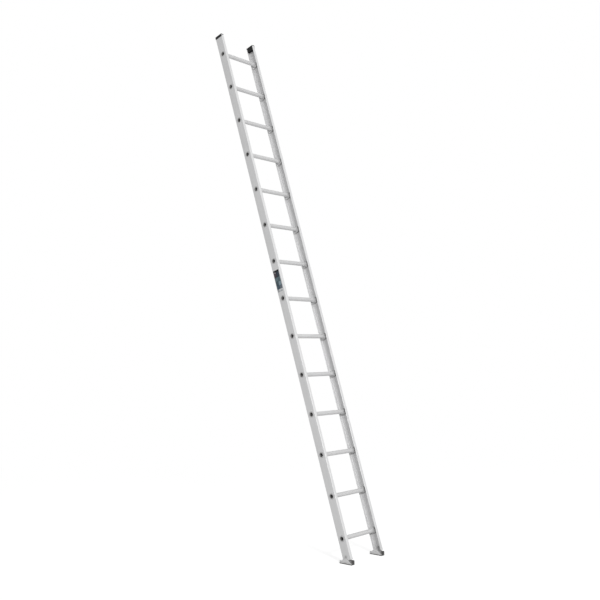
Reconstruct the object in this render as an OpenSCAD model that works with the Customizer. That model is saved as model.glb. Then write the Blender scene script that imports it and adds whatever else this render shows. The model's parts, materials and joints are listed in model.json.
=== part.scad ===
// Straight aluminium ladder: two C-channel rails joined by swaged tubular rungs,
// with plastic end caps and swivelling feet. It stands in its leaning position of use.
// Origin on the floor midway between the feet, +X from the left rail to the right rail,
// +Y towards the wall it leans on, +Z up. Millimetres.

/* [Ladder] */
// Angle between the rails and the vertical
lean = 18; // [0:0.5:25]
// Number of rungs
rung_count = 14; // [9:1:18]
// Distance from one rung's axis to the next, along the rails
rung_pitch = 304.8; // [280:0.1:320]
// Rail below the axis of the first rung
foot_overrun = 152.4; // [120:0.1:180]
// Rail above the axis of the last rung
top_overrun = 169; // [120:0.5:190]
// Width over the outer faces of the two rails
ladder_w = 400; // [340:1:460]

/* [Rails] */
// Depth of a rail, from its front flange to its rear flange
rail_d = 70; // [64:1:90]
// Reach of the flanges from the web's outer face
flange_w = 26; // [22:1:32]
// Thickness of the web
web_t = 2; // [1.5:0.1:3]
// Thickness of the flanges
flange_t = 2.4; // [1.8:0.1:3.4]
// Radius of the rail's outer corners and of the bulb along each flange tip
lip_r = 2.4; // [1.8:0.1:3]

/* [Rungs] */
// Outside radius of a rung
rung_r = 16; // [15.5:0.5:18]
// Radius of the bore through a rung
rung_bore_r = 14.4; // [12:0.1:14.8]
// Number of grip flutes around a rung
flute_count = 20; // [14:1:24]
// Width of a flute
flute_w = 1; // [0.6:0.1:1.2]
// Depth of a flute
flute_depth = 0.5; // [0.3:0.1:0.7]
// Radius of the swaged bead against the inner face of a web
bead_r = 20.5; // [19:0.5:22]
// Radius of the flared rim against the outer face of a web
flare_r = 19.4; // [18.6:0.2:20.4]
// Thickness of the flared rim
flare_t = 1.6; // [1:0.1:2.4]
// Widening of the bore's mouth at the flared rim
mouth_flare = 3.8; // [2:0.1:4.6]

/* [End caps] */
// Thickness of the cap's plate over the end of the rail
cap_t = 4.5; // [3:0.5:20]
// Overhang of the plate around the rail, and thickness of the cap's skirt
cap_overhang = 1.6; // [1:0.1:2]
// Depth of the skirt that laps over the web's outer face
skirt_depth = 18; // [6:1:40]
// Depth of the plug inside the rail
plug_depth = 36; // [18:1:60]
// Wall thickness of the plug
plug_wall = 2.5; // [2:0.1:4]

/* [Feet] */
// Height of the swivel bolt's axis above the floor
pivot_h = 53; // [53:0.5:60]
// Distance from the rail's lower end to the bolt's axis
pivot_inset = 25.4; // [22:0.1:26]
// Reach of the sole behind the bolt
heel = 56; // [50:1:62]
// Reach of the sole in front of the bolt
toe = 50; // [44:1:56]
// Width of the foot across the rail
shoe_w = 37.3; // [37.3:0.1:42]
// Thickness of the foot's plate and walls
shoe_t = 3; // [2.5:0.1:3]
// Thickness of the rubber tread
tread_t = 5; // [4:0.5:5]
// Number of grooves across the tread
tread_grooves = 12; // [8:1:14]

/* [Fasteners] */
// Radius of the swivel bolt's shank
bolt_r = 4; // [3:0.5:5]
// Radial clearance of the shank in the foot's ear
swivel_clearance = 0.08; // [0.02:0.01:0.1]
// Width across the flats of the bolt head and of the lock nut
hex_af = 13; // [12:0.5:14]
// Radius of the washers
washer_r = 8.5; // [8:0.5:10]

/* [Label] */
// Width of the rating label
label_w = 55; // [40:1:58]
// Height of the rating label
label_h = 174; // [120:1:180]
// Distance from the rung above the label down to the label's top edge
label_drop = 76; // [40:1:100]
// Distance of the label's middle behind the middle of the rail
label_shift = 2.5; // [0:0.5:3]
// Number of the rung above the label, counted from the floor
label_rung = 8; // [3:1:12]

/* [Hidden] */
$fn = 64;
eps = 0.01;
// How far a cut runs past the face that it opens.
past = 1;
rail_l = foot_overrun + (rung_count - 1) * rung_pitch + top_overrun;
rail_bottom = -pivot_inset;
rail_top = rail_bottom + rail_l;
// Radial room of a rivet or rung in its hole and of a nut on its bolt.
fit_gap = 0.05;
rung_hole_r = rung_r + fit_gap;
bolt_hole_r = bolt_r + 2 * fit_gap;
corner_r = lip_r;
inner_corner_r = 1.5;
// The bead is a ring of this section radius, cut flat where it bears on the web.
bead_section_r = 5;
bead_inset = 4;
flute_margin = 6;
// Depth of the bore's mouth past the web's outer face.
mouth_run = 0.5;
plug_gap = 0.3;
// Gaps that let the foot turn freely beside the rail and its bolt.
side_gap = 0.3;
thrust_washer_t = 1;
washer_t = 1.5;
head_t = 5.3;
nut_t = 6.5;
// How much the corners of a bolt head or nut are turned off.
hex_round = 0.25;
bolt_tail = 1.5;
bush_r = 6.5;
ear_r = 14;
plate_top = tread_t - pivot_h + shoe_t;
plate_bottom = plate_top - shoe_t;
wall_gap = thrust_washer_t + side_gap;
// Points of the foot's walls, as distances in front of and above the bolt's axis.
heel_top = [34, plate_bottom + 18];
wall_corner_r = 5;
arch = [-2, -33];
arch_r = 20;
low_front = [-toe, plate_bottom + 4];
shield = [-26, plate_bottom + 25];
rivet_shank_r = 2.4;
rivet_head_r = 5;
rivet_head_t = 1.8;
rivet_flat_t = 1.2;
rivet_recess = 2;
rivet_head_gap = 0.5;
rivet_ys = [-36, 10, 42];
groove_w = 3;
groove_depth = 1.6;
label_t = 0.3;
left_web_x = -ladder_w / 2;
right_web_x = ladder_w / 2;
left_shoe_x = left_web_x - wall_gap - shoe_t;
right_shoe_x = right_web_x + wall_gap + shoe_t - shoe_w;

function two_digits(i) = i < 10 ? str("0", i) : str(i);
function rung_name(i) = str("rung_", two_digits(i));
function rung_z(i) = rail_bottom + foot_overrun + (i - 1) * rung_pitch;
function arc(c, r, a0, a1, n = 8) =
    [for (i = [0:n]) c + r * [cos(a0 + (a1 - a0) * i / n), sin(a0 + (a1 - a0) * i / n)]];
// Angle, seen from a circle's centre, of the point where a line from p touches the circle.
function touch_angle(c, r, p, side) =
    atan2(p[1] - c[1], p[0] - c[0]) + side * acos(r / norm(p - c));

// Puts rail coordinates, with the origin on the swivel axis and +Z along the rails, in place.
module on_ladder() {
    translate([0, 0, pivot_h]) rotate([-lean, 0, 0]) children();
}

// Puts foot coordinates, with the origin on the swivel axis and a level sole, in place.
module on_floor() {
    translate([0, 0, pivot_h]) children();
}

// Cylinder along X from x0 to x1.
module rod(x0, x1, r) {
    translate([x0, 0, 0]) rotate([0, 90, 0]) cylinder(h = x1 - x0, r = r);
}

module ring(x0, x1, r, bore) {
    difference() {
        rod(x0, x1, r);
        rod(x0 - past, x1 + past, bore);
    }
}

// Hexagonal head from x0 to x1 with its corners turned off by a chamfer-like round.
module hex_head(x0, x1) {
    corner = hex_af / 2 / cos(30);
    intersection() {
        translate([x0, 0, 0]) rotate([0, 90, 0]) cylinder(h = x1 - x0, r = corner, $fn = 6);
        rod(x0 - eps, x1 + eps, corner - hex_round);
    }
}

module round_rect(x0, x1, y0, y1, r) {
    translate([x0 + r, y0]) square([x1 - x0 - 2 * r, y1 - y0]);
    translate([x0, y0 + r]) square([x1 - x0, y1 - y0 - 2 * r]);
    for (x = [x0 + r, x1 - r], y = [y0 + r, y1 - r]) translate([x, y]) circle(r);
}

// Section of a rail: the web's outer face is x = 0 and the flanges reach to flange_w.
module rail_section() {
    difference() {
        round_rect(0, flange_w, -rail_d / 2, rail_d / 2, corner_r);
        round_rect(web_t, 2 * flange_w, flange_t - rail_d / 2, rail_d / 2 - flange_t, inner_corner_r);
    }
    for (s = [-1, 1]) translate([flange_w - lip_r, s * (rail_d / 2 - lip_r)]) circle(lip_r);
}

// Rail with its web at x = 0 and its channel open towards +X.
module rail() {
    difference() {
        translate([0, 0, rail_bottom]) linear_extrude(rail_l) rail_section();
        for (i = [1:rung_count]) translate([0, 0, rung_z(i)]) rod(-past, web_t + past, rung_hole_r);
        rod(-past, web_t + past, bolt_hole_r);
    }
}

// Puts a left-hand piece of the ladder at the left web, or mirrored at the right web.
module at_web(side) {
    on_ladder()
        if (side == "left") translate([left_web_x, 0, 0]) children();
        else translate([right_web_x, 0, 0]) mirror([1, 0, 0]) children();
}

module left_rail() {
    color("silver") at_web("left") rail();
}

module right_rail() {
    color("silver") at_web("right") rail();
}

// Bead at the end of a rung, bearing on a web's inner face at x = 0, rung towards +X.
module bead() {
    intersection() {
        translate([bead_inset, 0, 0]) rotate([0, 90, 0]) rotate_extrude()
            translate([bead_r - bead_section_r, 0]) circle(bead_section_r);
        rod(0, 2 * bead_section_r, bead_r + past);
    }
}

// Solid end of a rung from the flared rim to the plain length beside the bead.
module rung_end() {
    rod(-flare_t, 0, flare_r);
    rod(-eps, web_t + 2 * bead_section_r + flute_margin, rung_r);
    translate([web_t, 0, 0]) bead();
}

// Cone that opens the bore out to the face of the flared rim.
module rung_mouth() {
    translate([-flare_t - eps, 0, 0]) rotate([0, 90, 0])
        cylinder(h = flare_t + mouth_run, r1 = rung_bore_r + mouth_flare, r2 = rung_bore_r - eps);
}

module fluted_section() {
    difference() {
        circle(rung_r);
        for (i = [0:flute_count - 1]) rotate((i + 0.5) * 360 / flute_count)
            translate([rung_r - flute_depth, -flute_w / 2]) square([2 * flute_depth, flute_w]);
    }
}

module rung(i) {
    plain = web_t + 2 * bead_section_r + flute_margin - past;
    color("gainsboro") on_ladder() translate([0, 0, rung_z(i)]) difference() {
        union() {
            translate([left_web_x, 0, 0]) rung_end();
            translate([right_web_x, 0, 0]) mirror([1, 0, 0]) rung_end();
            translate([left_web_x + plain, 0, 0]) rotate([0, 90, 0])
                linear_extrude(ladder_w - 2 * plain) fluted_section();
        }
        rod(left_web_x - flare_t - past, right_web_x + flare_t + past, rung_bore_r);
        translate([left_web_x, 0, 0]) rung_mouth();
        translate([right_web_x, 0, 0]) mirror([1, 0, 0]) rung_mouth();
    }
}

// Section of the plug: full width behind the bulbs of the flange tips, narrower between them.
module plug_section(inset) {
    half = rail_d / 2 - flange_t - plug_gap - inset;
    half_at_lips = rail_d / 2 - 2 * lip_r - plug_gap - inset;
    x0 = web_t + plug_gap + inset;
    x_lips = flange_w - 2 * lip_r - plug_gap - inset;
    translate([x0, -half]) square([x_lips - x0, 2 * half]);
    translate([x0, -half_at_lips]) square([flange_w - inset - x0, 2 * half_at_lips]);
}

// Section of the cap's plate, standing proud of the rail all round.
module plate_section() {
    half = rail_d / 2 + cap_overhang;
    round_rect(-cap_overhang, flange_w + cap_overhang, -half, half, corner_r + cap_overhang);
}

// Section of the skirt: the strip of the plate that lies outside the web.
module skirt_section() {
    difference() {
        plate_section();
        translate([0, -rail_d]) square([2 * flange_w, 2 * rail_d]);
    }
}

module end_cap() {
    translate([0, 0, rail_top]) {
        linear_extrude(cap_t) plate_section();
        translate([0, 0, -skirt_depth]) linear_extrude(skirt_depth + eps) skirt_section();
        difference() {
            translate([0, 0, -plug_depth]) linear_extrude(plug_depth + eps) plug_section(0);
            translate([0, 0, -plug_depth - past]) linear_extrude(plug_depth) plug_section(plug_wall);
        }
    }
}

module left_end_cap() {
    color("#222224") at_web("left") end_cap();
}

module right_end_cap() {
    color("#222224") at_web("right") end_cap();
}

// The heel end of both walls, from the sole up to the level stretch in front of the heel.
function heel_outline() = concat(
    [[heel, plate_bottom]],
    arc([heel - wall_corner_r, heel_top[1] - wall_corner_r], wall_corner_r, 0, 90),
    [heel_top]);

// Outline, in Y and Z, of the foot's wall on its -X side: low at the heel, an arch that stays
// under the bolt, and a front edge that slants down to the toe.
module low_wall_outline() {
    a_heel = touch_angle(arch, arch_r, heel_top, 1);
    a_front = touch_angle(arch, arch_r, low_front, -1);
    polygon(concat(
        heel_outline(),
        arc(arch, arch_r, a_heel, 360 + a_front, 16),
        [low_front, [-toe, plate_bottom]]));
}

// Outline of the wall on the +X side: an ear around the bolt, and a level shield at the toe.
module ear_wall_outline() {
    a_heel = touch_angle([0, 0], ear_r, heel_top, 1);
    a_front = touch_angle([0, 0], ear_r, shield, -1);
    polygon(concat(
        heel_outline(),
        arc([0, 0], ear_r, a_heel, 360 + a_front, 24),
        [shield],
        arc([wall_corner_r - toe, shield[1] - wall_corner_r], wall_corner_r, 90, 180),
        [[-toe, plate_bottom]]));
}

// Stands a Y-Z outline up as a wall from x0 to x0 + shoe_t.
module wall(x0) {
    translate([x0, 0, 0]) rotate([90, 0, 90]) linear_extrude(shoe_t) children();
}

// Foot with its -X side at x = 0. Both rails carry it the same way round.
module shoe() {
    difference() {
        union() {
            translate([0, -toe, plate_bottom]) cube([shoe_w, toe + heel, shoe_t]);
            wall(0) low_wall_outline();
            wall(shoe_w - shoe_t) ear_wall_outline();
        }
        rod(shoe_w - shoe_t - past, shoe_w + past, bolt_r + swivel_clearance);
        for (y = rivet_ys) translate([shoe_w / 2, y, plate_bottom - past])
            cylinder(h = shoe_t + 2 * past, r = rivet_shank_r + fit_gap);
    }
}

module tread() {
    spacing = (toe + heel) / tread_grooves;
    difference() {
        translate([0, -toe, -pivot_h]) cube([shoe_w, toe + heel, tread_t]);
        for (i = [1:tread_grooves - 1])
            translate([-past, -toe + i * spacing - groove_w / 2, -pivot_h - past])
                cube([shoe_w + 2 * past, groove_w, groove_depth + past]);
        for (y = rivet_ys) translate([shoe_w / 2, y, -pivot_h - past]) {
            cylinder(h = tread_t + 2 * past, r = rivet_shank_r + fit_gap);
            cylinder(h = rivet_recess + past, r = rivet_head_r + rivet_head_gap);
        }
    }
}

// Domed head above the plate, shank, and flat head let into the tread.
module rivet() {
    dome_r = (rivet_head_r * rivet_head_r + rivet_head_t * rivet_head_t) / (2 * rivet_head_t);
    translate([0, 0, plate_top]) intersection() {
        translate([0, 0, rivet_head_t - dome_r]) sphere(dome_r);
        cylinder(h = rivet_head_t + past, r = rivet_head_r + past);
    }
    translate([0, 0, rivet_recess - pivot_h])
        cylinder(h = plate_top + pivot_h - rivet_recess + eps, r = rivet_shank_r);
    translate([0, 0, rivet_recess - rivet_flat_t - pivot_h])
        cylinder(h = rivet_flat_t, r = rivet_head_r);
}

module tread_rivets() {
    for (y = rivet_ys) translate([shoe_w / 2, y, 0]) rivet();
}

module left_shoe() {
    color("lightgray") on_floor() translate([left_shoe_x, 0, 0]) shoe();
}

module right_shoe() {
    color("lightgray") on_floor() translate([right_shoe_x, 0, 0]) shoe();
}

module left_tread() {
    color("#28282a") on_floor() translate([left_shoe_x, 0, 0]) tread();
}

module right_tread() {
    color("#28282a") on_floor() translate([right_shoe_x, 0, 0]) tread();
}

module left_tread_rivets() {
    color("gray") on_floor() translate([left_shoe_x, 0, 0]) tread_rivets();
}

module right_tread_rivets() {
    color("gray") on_floor() translate([right_shoe_x, 0, 0]) tread_rivets();
}

// Left bolt: head on the web's outer face, bush inside the channel, ear, washer and nut.
left_head_x = left_web_x - washer_t;
left_ear_x1 = left_shoe_x + shoe_w;
left_nut_x = left_ear_x1 + side_gap + washer_t;

module left_pivot_bolt() {
    color("dimgray") on_ladder() {
        hex_head(left_head_x - head_t, left_head_x);
        rod(left_head_x - eps, left_nut_x + nut_t + bolt_tail, bolt_r);
    }
}

module left_bolt_washers() {
    color("gray") on_ladder() {
        ring(left_head_x, left_web_x, washer_r, bolt_hole_r);
        ring(left_nut_x - washer_t, left_nut_x, washer_r, bolt_hole_r);
    }
}

module left_pivot_bush() {
    color("gray") on_ladder()
        ring(left_web_x + web_t, left_ear_x1 - shoe_t - side_gap, bush_r, bolt_hole_r);
}

module lock_nut(x0, x1) {
    difference() {
        hex_head(x0, x1);
        rod(x0 - past, x1 + past, bolt_r + fit_gap);
    }
}

module left_lock_nut() {
    color("dimgray") on_ladder() lock_nut(left_nut_x, left_nut_x + nut_t);
}

// Right bolt: head outside the ear, thrust washer, web, washer and nut inside the channel.
right_head_x = right_shoe_x + shoe_w + side_gap + washer_t;
right_nut_x = right_web_x - web_t - washer_t;

module right_pivot_bolt() {
    color("dimgray") on_ladder() {
        hex_head(right_head_x, right_head_x + head_t);
        rod(right_nut_x - nut_t - bolt_tail, right_head_x + eps, bolt_r);
    }
}

module right_bolt_washers() {
    color("gray") on_ladder() {
        ring(right_head_x - washer_t, right_head_x, washer_r, bolt_hole_r);
        ring(right_nut_x, right_nut_x + washer_t, washer_r, bolt_hole_r);
    }
}

module right_thrust_washer() {
    color("gray") on_ladder()
        ring(right_web_x, right_web_x + thrust_washer_t, washer_r, bolt_hole_r);
}

module right_lock_nut() {
    color("dimgray") on_ladder() lock_nut(right_nut_x - nut_t, right_nut_x);
}

module rating_label() {
    color("teal") on_ladder()
        translate([left_web_x - label_t, label_shift - label_w / 2,
                   rung_z(label_rung) - label_drop - label_h])
            cube([label_t, label_w, label_h]);
}

left_rail();
right_rail();
for (i = [1:rung_count]) rung(i);
left_end_cap();
right_end_cap();
left_shoe();
left_tread();
left_tread_rivets();
right_shoe();
right_tread();
right_tread_rivets();
left_pivot_bolt();
left_bolt_washers();
left_pivot_bush();
left_lock_nut();
right_pivot_bolt();
right_bolt_washers();
right_thrust_washer();
right_lock_nut();
rating_label();
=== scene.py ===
import json
import math

import bmesh
import bpy
from mathutils import Matrix, Vector


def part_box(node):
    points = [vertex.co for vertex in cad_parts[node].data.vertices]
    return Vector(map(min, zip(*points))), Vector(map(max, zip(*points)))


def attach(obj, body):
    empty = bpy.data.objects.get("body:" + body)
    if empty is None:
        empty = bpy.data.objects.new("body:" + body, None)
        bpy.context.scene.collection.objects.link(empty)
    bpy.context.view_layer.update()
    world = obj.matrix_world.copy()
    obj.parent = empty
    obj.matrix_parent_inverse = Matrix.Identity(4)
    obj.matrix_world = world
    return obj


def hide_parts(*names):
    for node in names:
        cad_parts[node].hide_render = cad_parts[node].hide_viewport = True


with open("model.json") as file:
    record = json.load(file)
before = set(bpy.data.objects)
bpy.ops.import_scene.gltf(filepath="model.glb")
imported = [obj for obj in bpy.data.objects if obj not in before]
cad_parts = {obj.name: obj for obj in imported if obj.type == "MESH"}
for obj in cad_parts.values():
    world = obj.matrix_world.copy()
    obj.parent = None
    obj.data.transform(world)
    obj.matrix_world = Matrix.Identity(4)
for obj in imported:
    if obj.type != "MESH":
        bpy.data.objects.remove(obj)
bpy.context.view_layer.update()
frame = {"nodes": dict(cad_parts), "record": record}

# ---------------------------------------------------------------- facts from the frame
MM = 0.001
# Points closer than this are one point.
WELD = 0.01 * MM
SIDES = ("left", "right")
MOUNTS = {m["name"]: m for m in frame["record"]["mounts"]}
RUNGS = sorted(n for n in frame["nodes"] if n.startswith("rung_"))
PIVOT = Vector(frame["record"]["behaviour"]["joints"][0]["pos_m"])
BACK = Vector(MOUNTS["left_wall_rest"]["axis"]).normalized()
LEAN = math.atan2(-BACK.z, BACK.y)
# Rail coordinates: X across, Y to the rear, Z along the rails from the swivel axis.
TO_RAIL = Matrix.Rotation(LEAN, 4, "X") @ Matrix.Translation((0, 0, -PIVOT.z))


def rail_middle(node):
    """The middle of a node in rail coordinates."""
    low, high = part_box(node)
    return TO_RAIL @ ((low + high) / 2)


def rail_points(node):
    """The points of a node's mesh in rail coordinates."""
    return [TO_RAIL @ v.co for v in frame["nodes"][node].data.vertices]


RUNG_1 = rail_middle(RUNGS[0]).z
PITCH = rail_middle(RUNGS[1]).z - RUNG_1
RUNG_R = MOUNTS["top_rung"]["dims"]["r_mm"] * MM
BORE_R = MOUNTS["lock_bar_bore"]["dims"]["r_mm"] * MM
RUNG_POINTS = rail_points(RUNGS[0])
RUNG_END = max(abs(p.x) for p in RUNG_POINTS)
MOUTH_R = min(math.hypot(p.y, p.z - RUNG_1) for p in RUNG_POINTS if abs(p.x) > RUNG_END - WELD)
HALF_W = abs(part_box("left_rail")[0].x)
HALF_D = (TO_RAIL @ Vector(MOUNTS["left_wall_rest"]["pos_m"])).y
CAP_TOP = max(p.z for p in rail_points("left_end_cap"))
TOE_Y, SOLE_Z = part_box("left_tread")[0].yz
TREAD_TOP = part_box("left_tread")[1].z
SHOE_X = {side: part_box(side + "_shoe")[0].x for side in SIDES}
SHOE_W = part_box("left_shoe")[1].x - SHOE_X["left"]

# ---------------------------------------------------------------- stage, light and camera
WHITE = (1, 1, 1, 1)
CAMERA_PLACE = (-5.3686, -3.8946, 1.5800)
CAMERA_AZIMUTH = -50.07
CAMERA_ELEVATION = -2.67
CAMERA_ROLL = 0.087
CAMERA_LENS = 53.86
CAMERA_REACH = 300
SKY_LEVEL = 0.508
SKY_SLOPE = (0.02, -0.18, 0.16)
FLOOR_HALF = 60.0
FLOOR_NEAR = 1.5
FLOOR_FAR = 6.0
FLOOR_PAPER = (0.55, 0.55, 0.55, 1)
FLOOR_LIFT = 0.64
FLOOR_GLOW = 0.56
KEY_PLACE = (-3.5, -6.0, 3.9)
KEY_TARGET = (0, 0.6, 2.0)
KEY_SIZE = 1.2
KEY_POWER = 230


def put_in_scene(name, data):
    obj = bpy.data.objects.new(name, data)
    bpy.context.scene.collection.objects.link(obj)
    return obj


def aim(obj, way):
    """Turn a camera or a lamp, which looks along its own -Z, along a direction."""
    obj.rotation_mode = "QUATERNION"
    obj.rotation_quaternion = way.to_track_quat("-Z", "Y")


def add_camera():
    data = bpy.data.cameras.new("camera")
    data.lens = CAMERA_LENS
    data.clip_end = CAMERA_REACH
    cam = put_in_scene("camera", data)
    cam.location = CAMERA_PLACE
    turn = math.radians(CAMERA_AZIMUTH)
    rise = math.radians(CAMERA_ELEVATION)
    out = Vector((math.sin(turn) * math.cos(rise), -math.cos(turn) * math.cos(rise), math.sin(rise)))
    aim(cam, -out)
    cam.rotation_quaternion @= Matrix.Rotation(math.radians(CAMERA_ROLL), 3, "Z").to_quaternion()
    bpy.context.scene.camera = cam


def add_light(name, place, target, size, power):
    data = bpy.data.lights.new(name, "AREA")
    data.shape = "DISK"
    data.size = size
    data.energy = power
    lamp = put_in_scene(name, data)
    lamp.location = place
    aim(lamp, Vector(target) - Vector(place))


# Most values of a noise texture lie between these two.
NOISE_LOW = 0.3
NOISE_HIGH = 0.7


class Nodes:
    """Short calls for one node tree."""

    def __init__(self, tree):
        self.tree = tree
        tree.nodes.clear()

    def add(self, kind, inputs=None, **settings):
        node = self.tree.nodes.new(kind)
        for key, value in settings.items():
            setattr(node, key, value)
        for key, value in (inputs or {}).items():
            self.put(node.inputs[key], value)
        return node

    def put(self, socket, value):
        if isinstance(value, bpy.types.NodeSocket):
            self.tree.links.new(value, socket)
        else:
            socket.default_value = value

    def math(self, operation, a, b=0.0):
        return self.add("ShaderNodeMath", {0: a, 1: b}, operation=operation).outputs[0]

    def plus(self, first, *others):
        for other in others:
            first = self.math("ADD", first, other)
        return first

    def times(self, first, *others):
        for other in others:
            first = self.math("MULTIPLY", first, other)
        return first

    def minus(self, a, b):
        return self.math("SUBTRACT", a, b)

    def larger(self, a, b):
        return self.math("MAXIMUM", a, b)

    def is_less(self, a, b):
        return self.math("LESS_THAN", a, b)

    def is_more(self, a, b):
        return self.math("GREATER_THAN", a, b)

    def absolute(self, value):
        return self.math("ABSOLUTE", value)

    def span(self, value, low, high, to_low=0.0, to_high=1.0, kind="LINEAR"):
        inputs = {"Value": value, "From Min": low, "From Max": high,
                  "To Min": to_low, "To Max": to_high}
        return self.add("ShaderNodeMapRange", inputs, interpolation_type=kind).outputs["Result"]

    def rise(self, value, none, full):
        """0 at one value, and smoothly up to 1 at another."""
        return self.span(value, none, full, kind="SMOOTHSTEP")

    def fade(self, value, full, none, strength=1.0):
        """A strength at one value, and smoothly down to 0 at another."""
        return self.span(value, full, none, strength, 0.0, kind="SMOOTHSTEP")

    def spread(self, noise, low, high):
        """A noise's usual values, spread from low to high."""
        return self.span(noise, NOISE_LOW, NOISE_HIGH, low, high)

    def sway(self, noise, amount):
        """A noise's usual values, spread evenly around 0."""
        return self.spread(noise, -amount, amount)

    def mix(self, factor, a, b):
        node = self.add("ShaderNodeMix", data_type="RGBA")
        self.put(node.inputs["Factor"], factor)
        self.put(node.inputs[6], a)
        self.put(node.inputs[7], b)
        return node.outputs[2]

    def length(self, *parts):
        place = self.add("ShaderNodeCombineXYZ", dict(enumerate(parts))).outputs[0]
        return self.add("ShaderNodeVectorMath", {0: place}, operation="LENGTH").outputs["Value"]

    def noise(self, coords, scale, stretch=(1, 1, 1), detail=3.0, roughness=0.5):
        place = self.add("ShaderNodeMapping", {"Vector": coords, "Scale": stretch}).outputs[0]
        inputs = {"Vector": place, "Scale": scale, "Detail": detail, "Roughness": roughness}
        return self.add("ShaderNodeTexNoise", inputs).outputs["Fac"]

    def cells(self, coords, scale):
        inputs = {"Vector": coords, "Scale": scale}
        return self.add("ShaderNodeTexVoronoi", inputs).outputs["Distance"]

    def spot(self):
        return self.add("ShaderNodeTexCoord").outputs["Object"]

    def rail_spot(self):
        """The spot in rail coordinates."""
        inputs = {"Vector": self.spot(), "Rotation": (LEAN, 0, 0), "Location": TO_RAIL.translation}
        return self.add("ShaderNodeMapping", inputs).outputs[0]

    def split(self, coords):
        return self.add("ShaderNodeSeparateXYZ", {0: coords}).outputs

    def bump(self, height, distance, strength):
        inputs = {"Height": height, "Distance": distance, "Strength": strength}
        return self.add("ShaderNodeBump", inputs).outputs[0]

    def glow(self, strength):
        return self.add("ShaderNodeEmission", {"Color": WHITE, "Strength": strength}).outputs[0]

    def sky(self, strength):
        return self.add("ShaderNodeBackground", {"Color": WHITE, "Strength": strength}).outputs[0]

    def blend(self, factor, a, b):
        return self.add("ShaderNodeMixShader", {0: factor, 1: a, 2: b}).outputs[0]

    def is_camera_ray(self):
        return self.add("ShaderNodeLightPath").outputs["Is Camera Ray"]


def add_world():
    """Plain white to the eye. It lights the ladder more from the front and above than from behind."""
    world = bpy.data.worlds.new("studio")
    world.use_nodes = True
    bpy.context.scene.world = world
    n = Nodes(world.node_tree)
    way = n.add("ShaderNodeTexCoord").outputs["Generated"]
    slope = n.add("ShaderNodeVectorMath", {0: way, 1: SKY_SLOPE}, operation="DOT_PRODUCT")
    soft = n.sky(n.plus(slope.outputs["Value"], SKY_LEVEL))
    both = n.blend(n.is_camera_ray(), soft, n.sky(1.0))
    n.add("ShaderNodeOutputWorld", {"Surface": both})


def floor_paper():
    """Pale paper that takes shadows near the feet, fades to white and glows a little upwards."""
    mat = bpy.data.materials.new("floor")
    mat.use_nodes = True
    n = Nodes(mat.node_tree)
    x, y = n.split(n.spot())[:2]
    paper = n.add("ShaderNodeBsdfDiffuse", {"Color": FLOOR_PAPER}).outputs[0]
    near = n.add("ShaderNodeAddShader", {0: paper, 1: n.glow(FLOOR_LIFT)}).outputs[0]
    shown = n.blend(n.span(n.length(x, y), FLOOR_NEAR, FLOOR_FAR), near, n.glow(1.0))
    both = n.blend(n.is_camera_ray(), n.glow(FLOOR_GLOW), shown)
    n.add("ShaderNodeOutputMaterial", {"Surface": both})
    return mat


def add_floor():
    mesh = bpy.data.meshes.new("floor")
    corners = [(-FLOOR_HALF, -FLOOR_HALF, 0), (FLOOR_HALF, -FLOOR_HALF, 0),
               (FLOOR_HALF, FLOOR_HALF, 0), (-FLOOR_HALF, FLOOR_HALF, 0)]
    mesh.from_pydata(corners, [], [(0, 1, 2, 3)])
    mesh.materials.append(floor_paper())
    put_in_scene("floor", mesh)


add_camera()
add_world()
add_floor()
add_light("key", KEY_PLACE, KEY_TARGET, KEY_SIZE, KEY_POWER)
bpy.context.scene.view_settings.view_transform = "Standard"

# ---------------------------------------------------------------- materials
# A tone of 0 is the middle of a metal's two colours, and this far off it is one of them.
TONE_REACH = 0.1
SCRATCH_STRETCH = (30, 60, 1.2)
SCRATCH_EDGE = 0.04
# Extruded aluminium, for the rails and the rungs.
METAL_DARK = (0.70, 0.70, 0.704, 1)
METAL_LIGHT = (0.90, 0.90, 0.904, 1)
METAL_ROUGH = (0.40, 0.52)
DIE_LINES = 900
DIE_LINE_STRETCH = 0.0015


def material(name, metallic=0.0):
    mat = bpy.data.materials.new(name)
    mat.use_nodes = True
    n = Nodes(mat.node_tree)
    surface = n.add("ShaderNodeBsdfPrincipled")
    surface.inputs["Metallic"].default_value = metallic
    n.add("ShaderNodeOutputMaterial", {"Surface": surface.outputs[0]})
    return mat, n, surface.inputs


def scratches(n, coords, turn, scale, rarity):
    """Fine stray scratches along one direction across a face."""
    turned = n.add("ShaderNodeMapping", {"Vector": coords, "Rotation": turn}).outputs[0]
    streaks = n.noise(turned, scale, SCRATCH_STRETCH, detail=5, roughness=0.65)
    return n.span(streaks, rarity, rarity + SCRATCH_EDGE)


def bare_metal(n, tone, dark, light):
    return n.mix(n.span(tone, -TONE_REACH, TONE_REACH), dark, light)


def above_rung(n, z):
    """Height above the nearest rung's axis, along the rails."""
    turns = n.math("DIVIDE", n.minus(z, RUNG_1 - PITCH / 2), PITCH)
    return n.times(n.minus(n.math("FRACT", turns), 0.5), PITCH)


def extruded(n, surface, lines, marks, tone, dirt_and_shade, painted_shade_and_grime):
    """The colour and the relief that the rails and the rungs share."""
    scratch_depth = 0.6
    # Dirt and painted shade both pull the metal's colour towards one dark colour.
    n.put(surface["Base Color"], n.mix(dirt_and_shade, bare_metal(n, tone, METAL_DARK, METAL_LIGHT), painted_shade_and_grime))
    relief = n.minus(lines, n.times(marks, scratch_depth))
    n.put(surface["Normal"], n.bump(relief, distance=0.1 * MM, strength=0.3))


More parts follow.
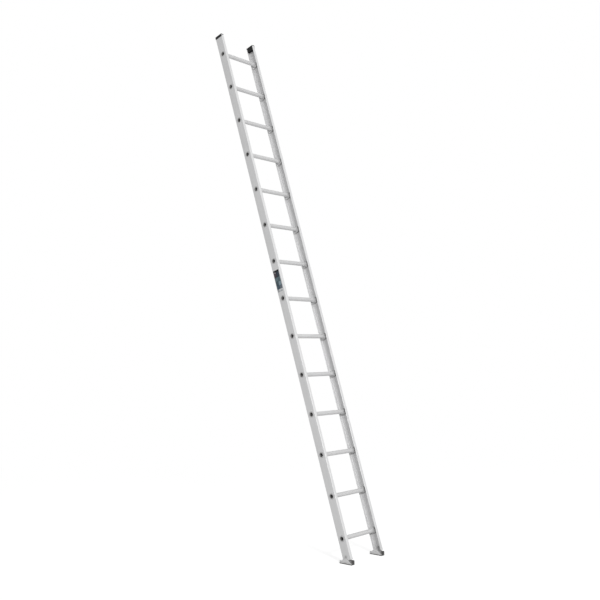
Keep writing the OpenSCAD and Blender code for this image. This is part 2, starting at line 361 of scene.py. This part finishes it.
def channel_painted_shade(n, y, above, inside):
    """Painted shade inside the channel: a dark patch from each rung to the front flange, where the
    bead and the flange shade the web, and a dark mark under the bead, where its shadow falls. Each
    reach is how far from its middle a patch is full, and how far it goes."""
    patch_ahead = 9 * MM
    patch_squash = 1.15
    patch_reach = (22 * MM, 31 * MM)
    mark_back = 18 * MM
    mark_drop = 24 * MM
    mark_squash = 0.25
    mark_reach = (3 * MM, 8 * MM)
    mark_strength = 0.45
    flange_skin = 1.2 * MM
    from_patch = n.length(0.0, n.plus(y, patch_ahead), n.times(above, patch_squash))
    from_mark = n.length(0.0, n.times(n.minus(y, mark_back), mark_squash), n.plus(above, mark_drop))
    painted_shade_and_grime = n.plus(n.fade(from_patch, *patch_reach), n.fade(from_mark, *mark_reach, mark_strength))
    return n.times(painted_shade_and_grime, n.is_less(n.absolute(y), HALF_D - flange_skin), inside)


def rim_painted_shade(n, y, above, inside):
    """Painted shade: a faint dark halo on the web's outer face, around each flared rim, where the rim
    meets the web.
    """
    ahead = 2 * MM
    reach = (20 * MM, 25 * MM)
    strength = 0.45
    from_rim = n.length(0.0, n.plus(y, ahead), above)
    return n.times(n.fade(from_rim, *reach, strength), n.minus(1.0, inside))


def rail_metal():
    """Mill-finish extrusion: die lines and bands along the rail, oxide clouds, handling scratches,
    bright worn corners, painted shade in the channel around each rung and around each rim, dust in
    the channel, and splashes near the foot."""
    line_tone = 0.016
    band_tone = 0.014
    cloud_tone = 0.022
    scratch_tone = -0.03
    worn_tone = 0.05
    wear = (1.8 * MM, 0.4 * MM)
    web_skin = (1.2 * MM, 1.9 * MM)
    splash_low = -10 * MM
    splash_high = 190 * MM
    splash_strength = 0.16
    rear_skin = 3 * MM
    most_dirt_and_shade = 0.95
    mat, n, surface = material("rail_aluminium", metallic=0.25)
    spot = n.rail_spot()
    x, y, z = n.split(spot)
    above = above_rung(n, z)
    lines = n.noise(spot, DIE_LINES, (1, 1, DIE_LINE_STRETCH), detail=4)
    bands = n.noise(spot, scale=70, stretch=(1, 1, 0.008), detail=2)
    clouds = n.noise(spot, scale=7, stretch=(1, 1, 0.6), detail=5, roughness=0.6)
    marks = n.plus(scratches(n, spot, turn=(0.35, 0, 0), scale=6, rarity=0.70),
                   scratches(n, spot, turn=(-0.22, 0, 0), scale=4, rarity=0.71))
    worn = n.rise(n.absolute(y), HALF_D - wear[0], HALF_D - wear[1])
    tone = n.plus(n.sway(lines, line_tone), n.sway(bands, band_tone), n.sway(clouds, cloud_tone),
                  n.times(marks, scratch_tone), n.times(worn, worn_tone))
    inside = n.span(n.absolute(x), HALF_W - web_skin[0], HALF_W - web_skin[1])
    # Painted shade in the channel, where the beads and the flanges shade the web.
    painted_shade_and_grime = n.times(channel_painted_shade(n, y, above, inside), most_dirt_and_shade)
    near_foot = n.span(z, splash_low, splash_high, 1.0, 0.0)
    splash = n.times(near_foot, n.span(clouds, 0.42, 0.62), splash_strength)
    ahead_of_rear = n.is_less(y, HALF_D - rear_skin)
    dust = n.times(inside, ahead_of_rear, n.spread(clouds, 0.02, 0.06))
    # Painted shade in the channel and around the rims, with real splashes and dust.
    dirt_and_shade = n.plus(painted_shade_and_grime, splash, dust, rim_painted_shade(n, y, above, inside))
    dirt_and_shade = n.math("MINIMUM", dirt_and_shade, most_dirt_and_shade)
    # The one dark colour for the dirt and the painted shade.
    extruded(n, surface, lines, marks, tone, dirt_and_shade, painted_shade_and_grime=(0.17, 0.165, 0.16, 1))
    # Dirt and the painted shade make it duller, and wear makes it smoother.
    rough = n.plus(n.spread(clouds, *METAL_ROUGH), n.sway(lines, 0.04),
                   n.times(dirt_and_shade, 0.25), n.times(worn, -0.10))
    n.put(surface["Roughness"], rough)
    return mat


def rung_dirt_and_shade(n, x, y, above, clouds):
    """Dirt in the flutes, and painted shade in the bore and the mouth and on the bead's front and
    underside, where the bead is shaded. Skins are measured from the tube's faces, and depths from the
    web's outer face."""
    flute_skin = (0.45 * MM, 0.1 * MM)
    flute_dirt_and_bore_shade = 0.45
    bore_skin = (0.08 * MM, 0.48 * MM)
    bore_shade = 0.32
    mouth_reach = 0.3 * MM
    mouth_depth = 0.5 * MM
    bead_depth = (13 * MM, 8 * MM)
    web_depth = 1 * MM
    from_axis = n.length(0.0, y, above)
    # Dirt in the flutes; this mask also reaches the whole bore, which it darkens as painted shade.
    flute = n.span(from_axis, RUNG_R - flute_skin[0], RUNG_R - flute_skin[1], 1.0, 0.0)
    # Painted shade inside the bore and the mouth.
    bore = n.span(from_axis, BORE_R + bore_skin[0], BORE_R + bore_skin[1], 1.0, 0.0)
    mouth = n.times(n.span(from_axis, MOUTH_R - mouth_reach, MOUTH_R, 1.0, 0.0),
                    n.span(x, HALF_W - mouth_depth, HALF_W))
    dirt_and_shade = n.plus(n.times(flute, flute_dirt_and_bore_shade), n.times(n.larger(bore, mouth), bore_shade))
    dirt_and_shade = n.times(dirt_and_shade, n.span(clouds, 0.25, 0.6, 0.7, 1.0))
    # Painted shade on the bead's front, towards the front flange, and on its underside.
    on_bead = n.times(n.rise(x, HALF_W - bead_depth[0], HALF_W - bead_depth[1]),
                      n.is_less(x, HALF_W - web_depth))
    front = n.fade(y, -0.85 * RUNG_R, -0.55 * RUNG_R, strength=0.85)
    underside = n.fade(above, -1.0 * RUNG_R, -0.75 * RUNG_R, strength=0.40)
    return n.larger(dirt_and_shade, n.times(on_bead, n.larger(front, underside)))


def rung_metal():
    """Extruded tube: die lines along X, dirt in its flutes, painted shade in its bore and on its
    beads, and a top polished by shoes.
    """
    line_tone = 0.02
    cloud_tone = 0.025
    scratch_tone = -0.025
    polish_tone = 0.03
    mat, n, surface = material("rung_aluminium", metallic=0.30)
    spot = n.rail_spot()
    x, y, z = n.split(spot)
    from_middle = n.absolute(x)
    above = above_rung(n, z)
    lines = n.noise(spot, DIE_LINES, (DIE_LINE_STRETCH, 1, 1), detail=4)
    clouds = n.noise(spot, scale=14, stretch=(0.6, 1, 1), detail=4, roughness=0.6)
    marks = scratches(n, spot, turn=(0, 0.2, 1.2), scale=7, rarity=0.69)
    middle = n.fade(from_middle, 0.35 * HALF_W, 0.75 * HALF_W)
    top = n.rise(above, 0.35 * RUNG_R, 0.9 * RUNG_R)
    polish = n.times(middle, top, n.span(clouds, 0.3, 0.6, 0.4, 1.0))
    tone = n.plus(n.sway(lines, line_tone), n.sway(clouds, cloud_tone),
                  n.times(polish, polish_tone), n.times(marks, scratch_tone))
    # Dirt in the flutes, and painted shade in the bore, the mouth and on the beads.
    dirt_and_shade = rung_dirt_and_shade(n, from_middle, y, above, clouds)
    extruded(n, surface, lines, marks, tone, dirt_and_shade, painted_shade_and_grime=(0.12, 0.115, 0.11, 1))
    # Dirt and the painted shade make it duller, and the polish makes it smoother.
    rough = n.plus(n.spread(clouds, *METAL_ROUGH), n.times(dirt_and_shade, 0.3), n.times(polish, -0.10))
    n.put(surface["Roughness"], rough)
    return mat


def toe_painted_shade(n, x, y, patch):
    """Painted shade: near black inside the toe, between the outer faces of a shoe's two walls."""
    arched_skin = 0.8 * MM
    ear_skin = 0.6 * MM
    toe_reach = (16 * MM, 44 * MM)
    is_left = n.is_less(x, 0.0)
    across = n.minus(x, n.span(is_left, 0.0, 1.0, SHOE_X["right"], SHOE_X["left"]))
    between = n.times(n.is_more(across, arched_skin), n.is_less(across, SHOE_W - ear_skin))
    at_toe = n.fade(y, TOE_Y + toe_reach[0], TOE_Y + toe_reach[1])
    return n.times(between, at_toe, n.spread(patch, 0.80, 1.0))


def shoe_metal():
    """Pressed plate, tumbled: fine grain in all directions, rubbed patches, dusty hollows, and
    painted shade inside the toe.
    """
    dark = (0.66, 0.66, 0.663, 1)
    light = (0.86, 0.86, 0.863, 1)
    dust_colour = (0.20, 0.19, 0.175, 1)
    # The colour of the painted shade inside the toe.
    toe_shade_colour = (0.085, 0.083, 0.080, 1)
    grain_tone = 0.02
    brushed_tone = 0.015
    scratch_tone = -0.03
    dust_reach = 16 * MM
    mat, n, surface = material("shoe_aluminium", metallic=0.30)
    spot = n.spot()
    x, y, z = n.split(spot)
    grain = n.noise(spot, scale=2600, detail=4)
    patch = n.noise(spot, scale=45, detail=5, roughness=0.65)
    brushed = n.noise(spot, scale=500, stretch=(1, 0.05, 1), detail=3)
    marks = scratches(n, spot, turn=(0.9, 0, 0), scale=12, rarity=0.68)
    tone = n.plus(n.sway(grain, grain_tone), n.spread(patch, -0.04, 0.03),
                  n.sway(brushed, brushed_tone), n.times(marks, scratch_tone))
    near_tread = n.fade(z, TREAD_TOP, TREAD_TOP + dust_reach)
    dust = n.times(near_tread, n.span(patch, 0.35, 0.65, 0.05, 0.45))
    # Painted shade: the inside of the toe is near black, where the walls and the rail shade it.
    painted_shade_and_grime = toe_painted_shade(n, x, y, patch)
    dirt_and_shade = n.larger(dust, painted_shade_and_grime)
    dust_and_shade_colour = n.mix(painted_shade_and_grime, dust_colour, toe_shade_colour)
    n.put(surface["Base Color"], n.mix(dirt_and_shade, bare_metal(n, tone, dark, light), dust_and_shade_colour))
    n.put(surface["Roughness"], n.plus(n.spread(patch, 0.40, 0.54), n.times(dirt_and_shade, 0.3)))
    relief = n.plus(n.times(grain, 0.5), n.times(brushed, 0.3), n.times(marks, -0.5))
    n.put(surface["Normal"], n.bump(relief, distance=0.12 * MM, strength=0.35))
    return mat


def cap_plastic():
    """Black moulded plastic with a pebbled skin, rubbed grey in patches and on its top."""
    black = (0.024, 0.024, 0.025, 1)
    rubbed_grey = (0.075, 0.075, 0.078, 1)
    top_depth = 3 * MM
    scratch_depth = -0.8
    mat, n, surface = material("cap_plastic")
    surface["Specular IOR Level"].default_value = 0.3
    spot = n.spot()
    pebble = n.cells(spot, scale=1100)
    cloud = n.noise(spot, scale=40, detail=4)
    marks = n.plus(scratches(n, spot, turn=(0.3, 0.4, 0.8), scale=14, rarity=0.67),
                   scratches(n, spot, turn=(0, 0, -0.6), scale=10, rarity=0.69))
    along = n.split(n.rail_spot())[2]
    top = n.rise(along, CAP_TOP - top_depth, CAP_TOP)
    rubbed = n.times(n.span(n.plus(cloud, n.times(top, 0.25)), 0.55, 0.85), 0.55)
    shade = n.plus(rubbed, n.times(marks, 0.35))
    n.put(surface["Base Color"], n.mix(shade, black, rubbed_grey))
    rough = n.plus(pebble, n.times(rubbed, 0.4))
    n.put(surface["Roughness"], n.span(rough, 0.0, 1.0, 0.50, 0.72))
    relief = n.plus(pebble, n.times(marks, scratch_depth))
    n.put(surface["Normal"], n.bump(relief, distance=0.18 * MM, strength=0.45))
    return mat


def tread_rubber():
    """Moulded rubber, dull, chalky with dust low down."""
    black = (0.009, 0.009, 0.009, 1)
    chalk = (0.060, 0.057, 0.052, 1)
    dust_reach = 3.5 * MM
    mat, n, surface = material("tread_rubber")
    surface["Specular IOR Level"].default_value = 0.15
    spot = n.spot()
    skin = n.noise(spot, scale=1800, detail=5, roughness=0.7)
    cloud = n.noise(spot, scale=60, detail=5, roughness=0.6)
    height = n.split(spot)[2]
    low = n.fade(height, SOLE_Z, SOLE_Z + dust_reach)
    dust = n.times(n.span(cloud, 0.35, 0.7), n.span(low, 0.0, 1.0, 0.15, 0.7))
    n.put(surface["Base Color"], n.mix(dust, black, chalk))
    n.put(surface["Roughness"], n.spread(skin, 0.78, 0.94))
    relief = n.plus(skin, n.times(cloud, 0.6))
    n.put(surface["Normal"], n.bump(relief, distance=0.3 * MM, strength=0.5))
    return mat


def zinc_steel(name, dark, light):
    """Zinc-plated steel: a faint spangle, machining marks around the bolt's axis, dull spots."""
    mat, n, surface = material(name, metallic=0.55)
    spot = n.rail_spot()
    x, y, z = n.split(spot)
    rings = n.add("ShaderNodeCombineXYZ", {0: n.length(0.0, y, z), 1: x}).outputs[0]
    turned = n.noise(rings, scale=2200, detail=2)
    spangle = n.cells(spot, scale=420)
    cloud = n.noise(spot, scale=130, detail=4, roughness=0.6)
    tone = n.plus(n.sway(turned, 0.12), n.span(spangle, 0.1, 0.8, -0.18, 0.18))
    tone = n.plus(tone, n.spread(cloud, 0.2, 0.8))
    n.put(surface["Base Color"], n.mix(tone, dark, light))
    n.put(surface["Roughness"], n.spread(cloud, 0.34, 0.58))
    relief = n.plus(turned, n.times(cloud, 0.5))
    n.put(surface["Normal"], n.bump(relief, distance=0.08 * MM, strength=0.3))
    return mat


LABEL_MIDDLE = rail_middle("rating_label")
LABEL_PALE = (0.66, 0.67, 0.68, 1)


def label_print(n, across, down):
    """Colour blocks and plain bars where a rating label has its panels. Places are in millimetres
    from the label's middle: across to the rear, and down."""
    side = 28
    end = 88
    footer = 65
    bar = 1.8
    black = (0.010, 0.010, 0.012, 1)
    maroon = (0.070, 0.046, 0.054, 1)
    navy = (0.018, 0.027, 0.043, 1)
    teal = (0.075, 0.115, 0.130, 1)
    dark_teal = (0.048, 0.080, 0.098, 1)
    mid_teal = (0.125, 0.185, 0.210, 1)
    pale_teal = (0.225, 0.315, 0.365, 1)
    blue = (0.030, 0.062, 0.105, 1)
    slate = (0.085, 0.112, 0.140, 1)
    grey = (0.24, 0.25, 0.27, 1)
    light_grey = (0.38, 0.39, 0.40, 1)

    def block(look, colour, left, right, top, bottom):
        aside = n.absolute(n.minus(across, (left + right) / 2))
        below = n.absolute(n.minus(down, (top + bottom) / 2))
        mask = n.times(n.is_less(aside, (right - left) / 2), n.is_less(below, (bottom - top) / 2))
        return n.mix(mask, look, colour)

    def bars(look, colour, left, rights, top, step, thick=bar):
        for row, right in enumerate(rights):
            at = top + row * step
            look = block(look, colour, left, right, at, at + thick)
        return look

    # The header, then the maroon and the navy panel under it.
    look = block(teal, black, -side, side, -end, -74)
    look = block(look, maroon, 4, side, -74, -32)
    look = bars(look, LABEL_PALE, 8, [23, 17], -72, step=5, thick=2.4)
    look = bars(look, slate, 8, [24, 18, 22, 24], -58, step=6)
    look = block(look, navy, -side, 4, -74, -32)
    look = bars(look, slate, -24, [0, -4, -1, -7, -2], -68, step=7, thick=2)
    # The teal panels in the middle.
    look = block(look, mid_teal, -2, 22, -28, 0)
    look = bars(look, teal, 1, [19, 15, 18, 12], -25, step=6)
    look = bars(look, pale_teal, -24, [-6, -9, -7], -24, step=8, thick=1.6)
    look = block(look, dark_teal, 0, side, 2, 32)
    look = bars(look, teal, 4, [24, 20, 23, 17], 6, step=6, thick=2)
    look = block(look, pale_teal, -24, 0, 6, 36)
    look = bars(look, grey, -21, [-4, -8, -5, -10], 10, step=6.4)
    # The blue and the slate panels below them, then the footer.
    look = block(look, blue, 2, side, 32, 63)
    look = block(look, teal, 8, 23, 38, 55)
    look = block(look, slate, -side, 2, 38, footer)
    look = bars(look, grey, -24, [-2, -6, -3, -8], 43, step=6)
    look = block(look, slate, 2, side, 60, footer)
    look = block(look, light_grey, 10, side, footer, end)
    look = block(look, LABEL_PALE, -side, 10, footer, end)
    return bars(look, slate, -24, [5, 1, 6], 75, step=4, thick=1.2)


def label_film():
    """Printed vinyl, a little faded and scuffed, with a slight ripple."""
    mat, n, surface = material("label_film")
    surface["Specular IOR Level"].default_value = 0.3
    y, z = n.split(n.rail_spot())[1:]
    spot = n.spot()
    across = n.times(n.minus(y, LABEL_MIDDLE.y), 1 / MM)
    down = n.times(n.minus(LABEL_MIDDLE.z, z), 1 / MM)
    cloud = n.noise(spot, scale=60, detail=4)
    scuff = scratches(n, spot, turn=(0.5, 0, 0), scale=9, rarity=0.68)
    faded = n.mix(n.span(cloud, 0.45, 0.8, 0.0, 0.10), label_print(n, across, down), LABEL_PALE)
    n.put(surface["Base Color"], n.mix(n.times(scuff, 0.30), faded, LABEL_PALE))
    n.put(surface["Roughness"], n.spread(cloud, 0.34, 0.5))
    relief = n.plus(n.noise(spot, scale=90, detail=2), n.times(scuff, -0.1))
    n.put(surface["Normal"], n.bump(relief, distance=0.2 * MM, strength=0.25))
    return mat


# ---------------------------------------------------------------- pieces
# Below the first angle two faces are one, above the second their edge is rounded, and above the
# third it is shaded as a corner.
FLAT_ANGLE = math.radians(0.5)
SHARP_ANGLE = math.radians(40)
SHADE_ANGLE = math.radians(35)


def dress(node, mat):
    """Give a CAD piece its material."""
    mesh = frame["nodes"][node].data
    mesh.materials.clear()
    mesh.materials.append(mat)


def body_of(node):
    return next(b for b, nodes in frame["record"]["behaviour"]["bodies"].items() if node in nodes)


def is_sharp(edge):
    return len(edge.link_faces) == 2 and edge.calc_face_angle() > SHARP_ANGLE


def eased(node, mat, width, segments):
    """A copy of a CAD piece with its sharp edges rounded, in that piece's place."""
    mesh = frame["nodes"][node].data.copy()
    mesh.name = node + "_eased"
    work = bmesh.new()
    work.from_mesh(mesh)
    bmesh.ops.remove_doubles(work, verts=work.verts, dist=WELD)
    bmesh.ops.dissolve_limit(work, angle_limit=FLAT_ANGLE, verts=work.verts, edges=work.edges)
    bmesh.ops.bevel(work, geom=[e for e in work.edges if is_sharp(e)], offset=width,
                    segments=segments, profile=0.5, affect="EDGES", clamp_overlap=True,
                    offset_type="OFFSET")
    for face in work.faces:
        face.smooth = True
    work.to_mesh(mesh)
    work.free()
    mesh.set_sharp_from_angle(angle=SHADE_ANGLE)
    mesh.materials.clear()
    mesh.materials.append(mat)
    piece = put_in_scene(node + "_eased", mesh)
    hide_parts(node)
    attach(piece, body_of(node))


RAIL_METAL = rail_metal()
RUNG_METAL = rung_metal()
SHOE_METAL = shoe_metal()
CAP_PLASTIC = cap_plastic()
TREAD_RUBBER = tread_rubber()
BOLT_STEEL = zinc_steel("bolt_steel", dark=(0.38, 0.38, 0.39, 1), light=(0.66, 0.66, 0.65, 1))
RIVET_STEEL = zinc_steel("rivet_steel", dark=(0.42, 0.42, 0.43, 1), light=(0.70, 0.70, 0.69, 1))
LABEL_FILM = label_film()

for node in RUNGS:
    dress(node, RUNG_METAL)
for side in SIDES:
    dress(side + "_rail", RAIL_METAL)
    dress(side + "_tread_rivets", RIVET_STEEL)
    eased(side + "_end_cap", CAP_PLASTIC, width=1.0 * MM, segments=3)
    eased(side + "_shoe", SHOE_METAL, width=0.5 * MM, segments=3)
    eased(side + "_tread", TREAD_RUBBER, width=0.5 * MM, segments=2)
    eased(side + "_bolt_washers", BOLT_STEEL, width=0.2 * MM, segments=2)
    eased(side + "_pivot_bolt", BOLT_STEEL, width=0.3 * MM, segments=2)
    eased(side + "_lock_nut", BOLT_STEEL, width=0.3 * MM, segments=2)
dress("left_pivot_bush", BOLT_STEEL)
dress("right_thrust_washer", BOLT_STEEL)
dress("rating_label", LABEL_FILM)
